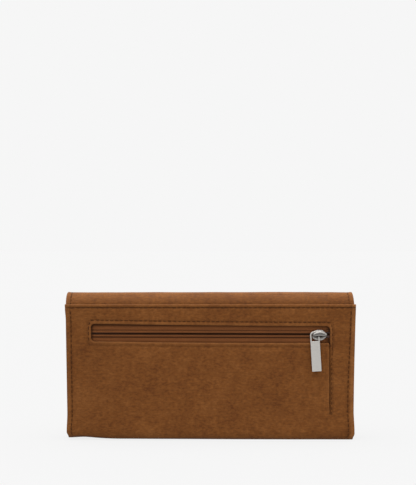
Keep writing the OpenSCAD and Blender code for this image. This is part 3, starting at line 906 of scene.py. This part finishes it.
def plate(name, outlines, y_out, y_in, material, bevel=0.22, move=lambda p: p):
    """A flat metal part cut to an outline, with holes, and with its edges rounded."""
    work = bmesh.new()
    edges = []
    for outline in outlines:
        ring = [work.verts.new(Vector((x, y_out, z))) for x, z in move(outline)]
        edges += [work.edges.new((ring[k - 1], ring[k])) for k in range(len(ring))]
    bmesh.ops.triangle_fill(work, use_beauty=True, use_dissolve=True, edges=edges)
    made = bmesh.ops.extrude_face_region(work, geom=work.faces[:])
    moved = [g for g in made["geom"] if isinstance(g, bmesh.types.BMVert)]
    bmesh.ops.translate(work, verts=moved, vec=(0, y_in - y_out, 0))
    bmesh.ops.recalc_face_normals(work, faces=work.faces)
    bmesh.ops.scale(work, vec=(MM, MM, MM), verts=work.verts)
    mesh = bpy.data.meshes.new(name)
    work.to_mesh(mesh)
    work.free()
    mesh.materials.append(material)
    piece = new_object(name, mesh)
    rounding = piece.modifiers.new("rounded edges", "BEVEL")
    rounding.width, rounding.segments, rounding.limit_method = bevel * MM, 3, "ANGLE"
    rounding.angle_limit = math.radians(35)
    rounding.harden_normals = True
    mesh.polygons.foreach_set("use_smooth", np.ones(len(mesh.polygons), bool))
    return piece


def dome(name, outline, levels, centre, material, painted_shade):
    """Stacked copies of one outline, each (scale, y), closed at both ends. The function given last marks where
    shade is painted on it.
    """
    points = np.concatenate([np.insert(outline * scale, 1, y, axis=1) for scale, y in levels])
    marks = {"painted_shade": painted_shade(points[:, 0], points[:, 2])}
    points[:, 0] += centre[0]
    points[:, 2] += centre[1]
    count = len(outline)
    faces = []
    for i in range(len(levels) - 1):
        for j in range(count):
            a, b = i * count + j, i * count + (j + 1) % count
            faces.append([a, b, b + count, a + count])
    faces += [list(range(count)), list(range(len(points) - count, len(points)))]
    return make_mesh(name, points, faces, material, marks)


def slider():
    """Top plate, bottom plate and the neck between the tapes, with the domed crown bridging the top plate."""
    low, high = corners("zip_slider")
    crown_low, crown_high = corners("zip_crown")
    middle = np.array([(low[0] + high[0]) / 2 - 0.15, ZIP_Z - 0.45])
    half_l, half_h = (high[0] - low[0]) / 2 - 0.1, 3.65
    body = [
        (-half_l, -half_h * 0.6, 1.4), (-half_l * 0.4, -half_h, 3.5), (half_l * 0.35, -half_h, 3.8),
        (half_l, -half_h * 0.22, 0.9), (half_l, half_h * 0.22, 0.9), (half_l * 0.35, half_h, 3.8),
        (-half_l * 0.4, half_h, 3.5), (-half_l, half_h * 0.6, 1.4),
    ]
    outline = outline_of(body)
    reach = (crown_high[0] - crown_low[0]) / 2
    crown_foot = -0.95

    # Painted shade on the top plate: a darker middle, and a painted shadow under the crown's foot.
    def shadow(x, z):
        inner = smooth((0.86 - np.hypot(x / half_l, z / half_h)) / 0.12)
        under = 0.85 * ridge(z - crown_foot + 0.35, 0.45) * smooth((reach - abs(x)) / 1.5)
        return np.clip(0.3 * inner + under, 0, 1)

    y = low[1]
    levels = [(0.97, y + 0.95), (1, y + 0.8), (1, y + 0.45), (0.98, y + 0.25), (0.93, y + 0.12),
              (0.84, y + 0.04), (0.7, y), (0.55, y - 0.02), (0.4, y - 0.03), (0.25, y - 0.04), (0.1, y - 0.04)]
    top = dome("slider_top_plate", outline, levels, middle, NICKEL, shadow)
    settle(top, "slider", stands_for=("zip_slider",))
    under = plate(
        "slider_bottom_plate", [outline], high[1] - 0.7, high[1], NICKEL, 0.25, lambda p: p + middle)
    settle(under, "slider")
    neck_x0, neck_x1 = 1.8, half_l - 0.9
    neck = outline_of([(neck_x0, -NECK_HALF, 0.04), (neck_x1, -NECK_HALF, 0.04),
                       (neck_x1, NECK_HALF, 0.04), (neck_x0, NECK_HALF, 0.04)])
    to_slot = (middle[0], ZIP_Z + SLOT_RISE)
    blade = plate("slider_neck", [neck], low[1] + 0.9, high[1] - 0.6, NICKEL, 0.04, lambda p: p + to_slot)
    settle(blade, "slider")

    arch = 0.7
    rise = low[1] - crown_low[1] - arch
    bridge = Route((-reach, -0.2), 90, [(rise - 0.7, 0), (0.9 * math.pi / 2, -90), (2 * reach - 1.8, 0),
                                        (0.9 * math.pi / 2, -90), (rise - 0.7, 0)], 1)

    def place(s, w, out):
        point, normal = bridge.at(s)
        along = point[..., 0] + normal[..., 0] * out
        bow = np.cos(np.clip(along / reach, -1, 1) * math.pi / 2)
        half = 0.55 + 1.5 * bow**0.7
        raised = point[..., 1] + normal[..., 1] * (out + arch * (1 - w**2) * bow**0.5)
        across = w * half + (half + crown_foot) * bow**0.4
        return np.stack([middle[0] + along, low[1] - raised, middle[1] + across], -1)

    def edge(s, w):
        return (1 - abs(w)) * 2

    # Painted shade on the crown: its lower rim, a streak across its middle and its lower half are darkened.
    def painted_shade(s, w):
        rim, groove = 0.9 * smooth((-0.55 - w) / 0.25), 0.65 * ridge(w - 0.1, 0.25)
        return np.clip(rim + groove + 0.35 * smooth((0.3 - w) / 0.5), 0, 1) + 0 * s

    across = np.array([-1, -0.95, -0.86, -0.72, -0.55, -0.35, -0.12, 0.12, 0.35, 0.55, 0.72, 0.86, 0.95, 1])
    lines = (even_lines(0, bridge.length, 0.25), across)
    crown = shell("slider_crown", lines, place, 0.5, NICKEL, edge, painted_shade=painted_shade)
    settle(crown, "slider", stands_for=("zip_crown",))


def pull():
    """The flat pull: a D-shaped eye round the crown's foot, and a tab that leans out over the leather."""
    low, high = corners("zip_pull")
    pivot = next(j for j in frame["joints"] if j["name"] == "pull_swing")["pos_m"]
    pivot = np.array([pivot[0], pivot[2]]) / MM - (0, 0.3)
    lean = math.radians(3.2)
    turn = np.array([[math.cos(lean), -math.sin(lean)], [math.sin(lean), math.cos(lean)]])
    left, right, top, foot = -2.5, 4.05, 2.6, low[2] - pivot[1] + 0.3
    outer = outline_of([(left, top, 2.7), (right, top, 1.2), (right, foot, 0.35), (left, foot, 0.35)])
    eye = outline_of([(left + 0.95, top - 0.95, 1.9), (right - 0.95, top - 0.95, 0.5),
                      (right - 0.95, -4.2, 0.3), (left + 0.95, -4.2, 0.3)])
    piece = plate(
        "zip_pull_tab", [outer, eye], low[1], high[1], PULL_METAL, 0.24, lambda p: p @ turn.T + pivot)
    for vertex in piece.data.vertices:
        vertex.co.y -= 0.04 * MM + PULL_LEAN_OUT * (pivot[1] * MM - vertex.co.z)
    settle(piece, "pull", stands_for=("zip_pull",))


# ---- Inside: pockets, linings, divider ----

# How far an empty card pocket's face swells.
CARD_BULGE = 0.06


def side_press(x):
    """At the side seams the back's inner layers close on to its outer leather."""
    return 3.0 * smooth((abs(x) - 85) / 11)


def panel(node, facing, material, body, top_seam=True, bulge=0.0, pressed=0.0):
    """A flat inner layer in its node's place, facing -1 or 1 along Y. top_seam stitches its top edge."""
    low, high = corners(node)
    thickness = high[1] - low[1]
    face_y = high[1] if facing > 0 else low[1]
    middle, half = (low[0] + high[0]) / 2, (high[0] - low[0]) / 2
    seed = sum(map(ord, node))

    def place(x, z, out):
        within = smooth((half - abs(x - middle)) / 12) * smooth((z - low[2]) / 12)
        down = high[2] - z
        hem = 0.1 * ridge(down - 0.8, 0.7) - 0.14 * ridge(down - POCKET_SEAM_IN, 0.35) if top_seam else 0
        soft = 0.07 * waves(x, z, seed, 38)
        lift = out + hem + bulge * within + soft * within
        return np.stack([x, face_y + facing * lift - pressed * side_press(x), z], -1)

    def edge(x, z):
        return np.minimum(half - abs(x - middle), np.minimum(z - low[2], high[2] - z))

    # Painted shade in the stitch groove below the turned top edge.
    def painted_shade(x, z):
        return 0.5 * ridge(high[2] - z - POCKET_SEAM_IN, 0.4) + 0 * x if top_seam else 0 * x

    # Paler along the top edge.
    def wear_and_highlight(x, z):
        return 0.65 * ridge(high[2] - z, 0.9) + 0 * x

    lines = (grid_lines(low[0], high[0], step=3), grid_lines(low[2], high[2], step=3))
    piece = shell(node + "_layer", lines, place, thickness, material, edge, None, wear_and_highlight, painted_shade)
    settle(piece, body, stands_for=(node,))
    if top_seam:
        row_z = high[2] - POCKET_SEAM_IN
        rows = [[(low[0] + 1.5, row_z), (high[0] - 1.5, row_z)]]
        settle(stitch_rows(node + "_stitches", place, rows, size=0.8), body)
    return piece


def inside():
    for column in ("left", "right"):
        for tier in (1, 2, 3):
            node = f"card_pocket_{column}_{tier}"
            panel(node, 1, INNER, "wallet", bulge=CARD_BULGE, pressed=0.95)
    panel("back_lining", 1, CLOTH, "wallet", top_seam=False, pressed=1.0)
    panel("back_top_facing", 1, INNER, "wallet", top_seam=False)
    panel("zip_pocket_outer_layer", -1, CLOTH, "wallet", top_seam=False)
    panel("zip_pocket_inner_layer", -1, CLOTH, "wallet", top_seam=False)
    panel("divider_board", 1, INNER, "divider")
    panel("divider_card_pocket_1", 1, INNER, "divider", bulge=CARD_BULGE)
    panel("divider_card_pocket_2", 1, INNER, "divider", bulge=CARD_BULGE)
    panel("front_lining", -1, CLOTH, "front", top_seam=False)
    panel("front_slip_pocket", -1, CLOTH, "front")


def id_window():
    """The identity window's leather frame, with its opening's edges turned and stitched."""
    low, high = corners("id_window_frame")
    inset, radius = 12.0, 3.0
    x0, x1, z0, z1 = low[0] + inset, high[0] - inset, low[2] + inset, 60.0
    cx, cz, hx, hz = (x0 + x1) / 2, (z0 + z1) / 2, (x1 - x0) / 2, (z1 - z0) / 2

    def outside(x, z):
        return np.maximum(abs(x - cx) - hx, abs(z - cz) - hz)

    def place(x, z, out):
        du, dv = abs(x - cx) - (hx - radius), abs(z - cz) - (hz - radius)
        move_x, move_z = corner_moves(du, dv, radius)
        x_new, z_new = x - np.sign(x - cx) * move_x, z - np.sign(z - cz) * move_z
        rim = np.clip(outside(x, z), 0, None)
        lift = out + 0.1 * ridge(rim - 0.8, 0.7) - 0.12 * ridge(rim - POCKET_SEAM_IN, 0.35)
        return np.stack([x_new, high[1] + lift, z_new], -1)

    def edge(x, z):
        rim = np.minimum(np.minimum(x - low[0], high[0] - x), np.minimum(z - low[2], high[2] - z))
        return np.where(outside(x, z) < -0.01, 0, np.minimum(rim, abs(outside(x, z))))

    # Painted shade in the stitch groove round the opening.
    def painted_shade(x, z):
        return 0.5 * ridge(outside(x, z) - POCKET_SEAM_IN, 0.4)

    lines = (grid_lines(low[0], high[0], (x0, x1), 3), grid_lines(low[2], high[2], (z0, z1), 3))
    thickness = high[1] - low[1]
    piece = shell(
        "id_window_leather", lines, place, thickness, INNER, edge, lambda x, z: outside(x, z) < 0, None, painted_shade)
    settle(piece, "divider", stands_for=("id_window_frame",))
    left, right = x0 - POCKET_SEAM_IN, x1 + POCKET_SEAM_IN
    foot, top = z0 - POCKET_SEAM_IN, z1 + POCKET_SEAM_IN
    turns = [(left, foot), (right, foot), (right, top), (left, top)]
    rows = [[turns[k], turns[(k + 1) % 4]] for k in range(4)]
    rows.append([(low[0] + 1.5, high[2] - POCKET_SEAM_IN), (high[0] - 1.5, high[2] - POCKET_SEAM_IN)])
    settle(stitch_rows("id_window_stitches", place, rows, size=0.8), "divider")


def gusset(node, side, y0, y1, bend):
    """A side gusset: one soft inward fold between two walls."""
    low, high = corners(node)
    outer_x, depth = max(abs(low[0]), abs(high[0])) - 0.1, 13.0

    def line(t):
        fold = 1 - np.abs(2 * t - 1) ** 1.5
        return side * (outer_x - depth * fold), y0 + (y1 - y0) * t

    def place(t, z, out):
        x, y = line(t)
        x2, y2 = line(t + 1e-4)
        along = np.stack([x2 - x, y2 - y], -1)
        along /= np.linalg.norm(along, axis=-1, keepdims=True)
        drop = smooth((z - high[2] + 14) / 14) * 3.0 * (1 - np.abs(2 * t - 1))
        x = x + side * along[..., 1] * out
        y = y - side * along[..., 0] * out
        return np.stack([x, y, z - drop], -1)

    def edge(t, z):
        return np.minimum(np.minimum(t, 1 - t) * 26, np.minimum(z - low[2], high[2] - z))

    lines = (even_lines(0, 1, 0.03), grid_lines(low[2], high[2], step=3))
    piece = shell(node + "_leather", lines, place, 0.5, INNER, edge)
    settle(piece, across=bend, stands_for=(node,))


def gussets():
    divider_low, divider_high = corners("divider_board")
    cards_y = corners("card_pocket_left_3")[1][1]
    slip_y = corners("front_slip_pocket")[0][1]
    middle = (divider_low[1] + divider_high[1]) / 2
    back_bend = ("wallet", "divider", (cards_y, 0), (middle, 0))
    front_bend = ("wallet", "front", (2 * middle - slip_y, 0), (slip_y, 0))
    for side, word in ((-1, "left"), (1, "right")):
        gusset("gusset_back_" + word, side, cards_y - side_press(99) + 0.3, divider_low[1] - 0.3, back_bend)
        gusset("gusset_front_" + word, side, divider_high[1] + 1.2, slip_y - 0.3, front_bend)


# ---- Snap, ring and tab ----


def turned(name, profile, centre, material, steps=48):
    """A round part about Y: profile is (radius, y) from the middle outwards and back."""
    turns = np.arange(steps) * math.tau / steps
    profile = np.array(profile, float)
    ring = np.stack([np.cos(turns), np.sin(turns)], -1)
    points = [[centre[0] + r * c, y, centre[1] + r * s] for r, y in profile for c, s in ring]
    faces = []
    for i in range(len(profile) - 1):
        for j in range(steps):
            a, b = i * steps + j, i * steps + (j + 1) % steps
            faces.append([a, b, b + steps, a + steps])
    if profile[0][0] == profile[-1][0] and profile[0][1] == profile[-1][1]:
        points = points[:-steps]
        faces = [[p % (len(points)) for p in f] for f in faces]
    else:
        faces.append(list(range(steps)))
        faces.append([len(points) - 1 - k for k in range(steps)])
    return make_mesh(name, np.array(points), faces, material)


def snap():
    low, high = corners("snap_socket")
    centre = ((low[0] + high[0]) / 2, (low[2] + high[2]) / 2)
    r, y0, y1 = (high[0] - low[0]) / 2, low[1] + 0.35, high[1]
    socket = [(2.8, y0), (2.8, y1 - 0.5), (3.1, y1 - 0.12), (3.6, y1 - 0.02), (4.4, y1 - 0.18),
              (5.4, y1 - 0.22), (6.0, y1 - 0.1), (6.5, y1 - 0.2),
              (6.85, y1 - 0.55), (r, y1 - 1.0), (r, y0), (2.8, y0)]
    cap = turned("snap_socket_cap", socket, centre, NICKEL)
    settle(cap, "front", stands_for=("snap_socket",))
    low, high = corners("snap_stud")
    y0, y1 = low[1], high[1] - 0.1
    disc = y1 - 0.85
    stud = [(0.4, y0), (1.3, y0), (1.75, y0 + 0.15), (1.95, y0 + 0.45), (1.95, disc), (3.2, disc + 0.02),
            (3.6, disc + 0.2), (5.2, disc + 0.2), (5.8, disc + 0.03), (6.4, disc + 0.1), (6.85, disc + 0.4),
            (7.0, y1), (0.4, y1)]
    cap = turned("snap_stud_cap", stud, centre, NICKEL)
    settle(cap, "flap", stands_for=("snap_stud",))


def strap_tab():
    """A leather strip folded round the ring's bar."""
    low, high = corners("strap_tab")
    bar = joint_place("ring_swing")
    wrap, half = 1.2, (high[0] - low[0]) / 2
    middle = (low[0] + high[0]) / 2
    back_y = low[1] + 0.25
    turns = np.radians(np.linspace(185, 415, 22))
    loop = [(bar[0] + wrap * math.cos(a), bar[1] + wrap * math.sin(a)) for a in turns]
    down = [(back_y, z) for z in np.linspace(high[2], bar[1] + 1.8, 8)]
    up = [(back_y + 0.55, z) for z in np.linspace(bar[1] + 3.0, high[2] - 0.3, 8)]
    line = np.array(down + loop + up)
    lengths = np.concatenate([[0], np.cumsum(np.linalg.norm(np.diff(line, axis=0), axis=1))])

    def place(s, x, out):
        behind, here, ahead = (
            np.stack([np.interp(s + step, lengths, line[:, k]) for k in (0, 1)], -1)
            for step in (-0.15, 0, 0.15)
        )
        along = ahead - behind
        along /= np.maximum(np.linalg.norm(along, axis=-1, keepdims=True), 1e-9)
        here = here + np.stack([along[..., 1], -along[..., 0]], -1) * -out[..., None]
        return np.stack([middle + x, here[..., 0], here[..., 1]], -1)

    def edge(s, x):
        return np.minimum(half - abs(x), np.minimum(s, lengths[-1] - s))

    lines = (even_lines(0, lengths[-1], 0.4), grid_lines(-half, half))
    piece = shell("strap_tab_leather", lines, place, 0.45, INNER, edge)
    settle(piece, "wallet", stands_for=("strap_tab",))


def better_cad_nodes():
    """CAD nodes that keep their own shape get a finished material."""
    looks = {
        "zip_coil_upper": COIL, "zip_coil_lower": COIL, "zip_top_stop": NICKEL, "zip_bottom_stop": NICKEL,
        "strap_ring": NICKEL, "id_window_film": FILM,
        "snap_socket_washer": NICKEL, "snap_stud_washer": NICKEL,
    }
    for node, material in looks.items():
        piece = frame["nodes"][node]
        piece.data.materials.clear()
        piece.data.materials.append(material)


# ---- Floor, light and camera ----

WHITE = 0.922
ROOM_FRONT = 0.5
SUN = 3.2
FLOOR_GLOW = 0.82
FLOOR_TONE = 0.058
# The camera's focal length, its distance from the back wall and its height above the floor.
LENS = 95.85
CAMERA_X, CAMERA_BACK, CAMERA_UP = -1.5, 900, 137.65


def surroundings():
    """A wide pale floor. It glows a little, as a lit sweep table does, so shadows on it stay faint."""
    mesh = bpy.data.meshes.new("floor")
    mesh.from_pydata([(-60, -60, 0), (60, -60, 0), (60, 60, 0), (-60, 60, 0)], [], [(0, 1, 2, 3)])
    look = Look("pale_floor")
    haze = look.noise(look.add("TexCoord").outputs["Object"], 2, 2, 0.5)
    tone = look.ramp(haze, (0, (FLOOR_TONE * 0.98,) * 3), (1, (FLOOR_TONE * 1.02,) * 3))
    mesh.materials.append(look.finish(
        Base_Color=tone, Roughness=0.9, Specular_IOR_Level=0.0,
        Emission_Color=(1, 1, 1, 1), Emission_Strength=FLOOR_GLOW,
    ))
    new_object("floor", mesh)


def soft_sun(name, toward, strength, spread):
    """Soft light from a wide patch of sky, travelling in this direction."""
    light = bpy.data.lights.new(name, "SUN")
    light.energy, light.angle = strength, math.radians(spread)
    new_object(name, light).rotation_euler = Vector(toward).to_track_quat("-Z", "Y").to_euler()


def lights():
    """Soft light from above, in a white room that is dimmer on the camera's side."""
    soft_sun("top_light", (0.08, 0.12, -1), SUN, 80)
    world = bpy.data.worlds.new("studio")
    world.use_nodes = True
    nodes, links = world.node_tree.nodes, world.node_tree.links
    split = nodes.new("ShaderNodeSeparateXYZ")
    links.new(nodes.new("ShaderNodeTexCoord").outputs["Generated"], split.inputs[0])
    shade = nodes.new("ShaderNodeMapRange")
    shade.interpolation_type = "SMOOTHSTEP"
    links.new(split.outputs["Y"], shade.inputs["Value"])
    for key, value in (("From Min", -1.0), ("From Max", 0.0), ("To Min", ROOM_FRONT), ("To Max", WHITE)):
        shade.inputs[key].default_value = value
    links.new(shade.outputs["Result"], nodes["Background"].inputs["Strength"])
    nodes["Background"].inputs["Color"].default_value = (1, 1, 1, 1)
    bpy.context.scene.world = world
    bpy.context.scene.view_settings.view_transform = "Standard"


def camera():
    """A level camera behind the back wall, a little higher than the wallet's top."""
    view = bpy.data.cameras.new("camera")
    view.lens, view.sensor_width = LENS, 36
    view.clip_start, view.clip_end = 0.05, 20
    eye = new_object("camera", view)
    eye.location = (CAMERA_X * MM, (WALL_LOW[1] - CAMERA_BACK) * MM, CAMERA_UP * MM)
    eye.rotation_euler = (math.radians(90), 0, 0)
    bpy.context.scene.camera = eye


camera()
surroundings()
lights()
outer_leather()
flap()
board()
tape(1)
tape(-1)
slider()
pull()
inside()
id_window()
gussets()
snap()
strap_tab()
better_cad_nodes()
